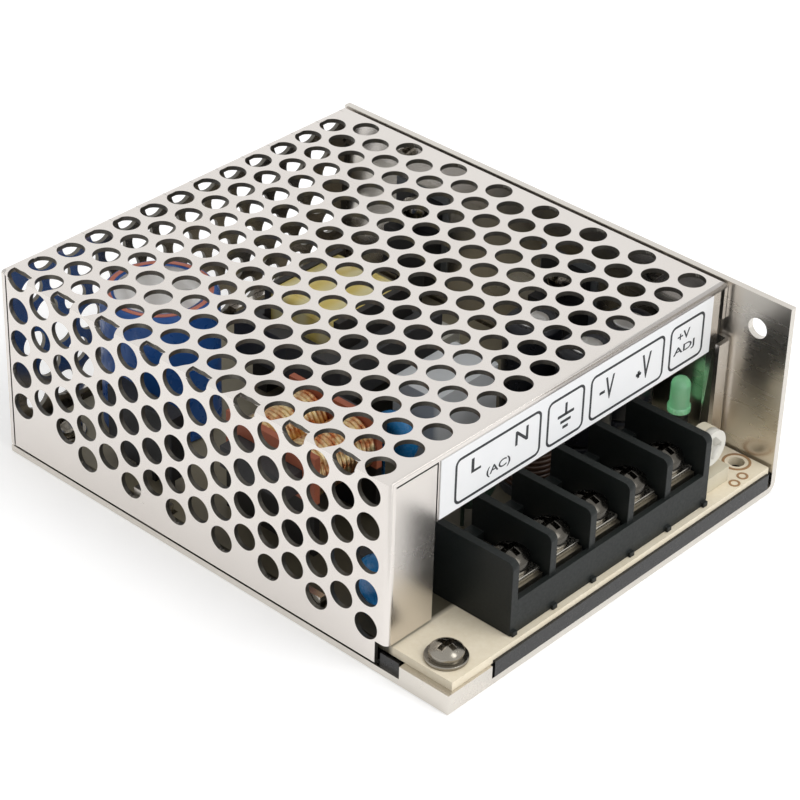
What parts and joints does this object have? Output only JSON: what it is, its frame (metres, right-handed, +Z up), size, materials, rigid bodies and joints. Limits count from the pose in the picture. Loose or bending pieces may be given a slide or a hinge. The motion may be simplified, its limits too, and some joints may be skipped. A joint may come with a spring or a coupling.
{
  "type": "enclosed switching power supply",
  "caption": "Low box power supply in a folded steel base with a perforated cover, open at one end over a barrier terminal block with clamp screws, a trimmer and an indicator lamp.",
  "frame": {"origin": "centre of the overall box's underside, on the surface the base rests on", "axes": "X runs across the case to the side wall on +X, Y runs along it from the terminal end at -Y to the back, Z is up"},
  "size_m": [0.082, 0.099, 0.036],
  "materials": {
    "plated_steel": "bright plated sheet, faintly rolled",
    "nickel_steel": "bright nickel plate",
    "black_film": "smooth film",
    "tan_board": "bare fibre board",
    "white_label": "printed film",
    "black_moulding": "fine moulded grain",
    "tinned_brass": "dull tin plate",
    "dark_moulding": "moulded",
    "cream_moulding": "moulded",
    "green_lens": "clear tinted resin",
    "white_moulding": "moulded",
    "blue_sleeve": "shrunk sleeve",
    "dark_sleeve": "shrunk sleeve",
    "ferrite": "ground, matt",
    "yellow_tape": "smooth tape",
    "copper_wire": "lacquered wire",
    "grey_box": "moulded box",
    "blue_coating": "dipped coating",
    "green_coating": "dipped coating",
    "grey_rubber": "filled silicone"
  },
  "bodies": {
    "supply": {"base_chassis": "plated_steel", "cover": "plated_steel", "cover_screws": "nickel_steel", "insulating_sheet": "black_film", "circuit_board": "tan_board", "board_screws": "nickel_steel", "board_washers": "nickel_steel", "terminal_label": "white_label", "terminal_body": "black_moulding", "terminal_contacts": "tinned_brass", "trimmer_body": "cream_moulding", "power_lamp": "green_lens", "lamp_spacer": "dark_moulding", "bulk_capacitor": "blue_sleeve", "transformer_core": "ferrite", "transformer_bobbin": "black_moulding", "transformer_winding": "yellow_tape", "filter_core": "ferrite", "filter_bobbin": "dark_moulding", "filter_coils": "copper_wire", "line_capacitor": "grey_box", "disc_capacitors": "blue_coating", "line_fuse": "dark_moulding", "inrush_thermistor": "green_coating", "bridge_rectifier": "black_moulding", "switch_transistor": "black_moulding", "output_rectifier": "black_moulding", "insulating_pads": "grey_rubber", "device_screws": "nickel_steel", "output_capacitors": "dark_sleeve", "output_inductor_core": "ferrite", "output_inductor_coil": "copper_wire", "feedback_coupler": "white_moulding", "controller_chip": "black_moulding"},
    "trimmer": {"trimmer_rotor": "white_moulding"},
    "clamp_1": {"clamp_washer_1": "nickel_steel"},
    "screw_1": {"terminal_screw_1": "nickel_steel"},
    "clamp_2": {"clamp_washer_2": "nickel_steel"},
    "screw_2": {"terminal_screw_2": "nickel_steel"},
    "clamp_3": {"clamp_washer_3": "nickel_steel"},
    "screw_3": {"terminal_screw_3": "nickel_steel"},
    "clamp_4": {"clamp_washer_4": "nickel_steel"},
    "screw_4": {"terminal_screw_4": "nickel_steel"},
    "clamp_5": {"clamp_washer_5": "nickel_steel"},
    "screw_5": {"terminal_screw_5": "nickel_steel"}
  },
  "joints": [
    {"name": "trimmer_turn", "type": "hinge", "parent": "supply", "child": "trimmer", "pos_m": [0.0284, -0.045, 0.01232], "axis": [0, 1, 0], "range_deg": [-130, 130]},
    {"name": "clamp_1_lift", "type": "slide", "parent": "supply", "child": "clamp_1", "axis": [0, 0, 1], "range_m": [0, 0.003]},
    {"name": "screw_1_turn", "type": "hinge", "parent": "clamp_1", "child": "screw_1", "pos_m": [-0.0199, -0.0423, 0.0118], "axis": [0, 0, 1], "range_deg": [0, 1800]},
    {"name": "clamp_2_lift", "type": "slide", "parent": "supply", "child": "clamp_2", "axis": [0, 0, 1], "range_m": [0, 0.003]},
    {"name": "screw_2_turn", "type": "hinge", "parent": "clamp_2", "child": "screw_2", "pos_m": [-0.0104, -0.0423, 0.0118], "axis": [0, 0, 1], "range_deg": [0, 1800]},
    {"name": "clamp_3_lift", "type": "slide", "parent": "supply", "child": "clamp_3", "axis": [0, 0, 1], "range_m": [0, 0.003]},
    {"name": "screw_3_turn", "type": "hinge", "parent": "clamp_3", "child": "screw_3", "pos_m": [-0.0009, -0.0423, 0.0118], "axis": [0, 0, 1], "range_deg": [0, 1800]},
    {"name": "clamp_4_lift", "type": "slide", "parent": "supply", "child": "clamp_4", "axis": [0, 0, 1], "range_m": [0, 0.003]},
    {"name": "screw_4_turn", "type": "hinge", "parent": "clamp_4", "child": "screw_4", "pos_m": [0.0086, -0.0423, 0.0118], "axis": [0, 0, 1], "range_deg": [0, 1800]},
    {"name": "clamp_5_lift", "type": "slide", "parent": "supply", "child": "clamp_5", "axis": [0, 0, 1], "range_m": [0, 0.003]},
    {"name": "screw_5_turn", "type": "hinge", "parent": "clamp_5", "child": "screw_5", "pos_m": [0.0181, -0.0423, 0.0118], "axis": [0, 0, 1], "range_deg": [0, 1800]}
  ],
  "couplings": [
    {"joint": "screw_1_turn", "follows": "clamp_1_lift", "rad_per_m": 10472},
    {"joint": "screw_2_turn", "follows": "clamp_2_lift", "rad_per_m": 10472},
    {"joint": "screw_3_turn", "follows": "clamp_3_lift", "rad_per_m": 10472},
    {"joint": "screw_4_turn", "follows": "clamp_4_lift", "rad_per_m": 10472},
    {"joint": "screw_5_turn", "follows": "clamp_5_lift", "rad_per_m": 10472}
  ]
}
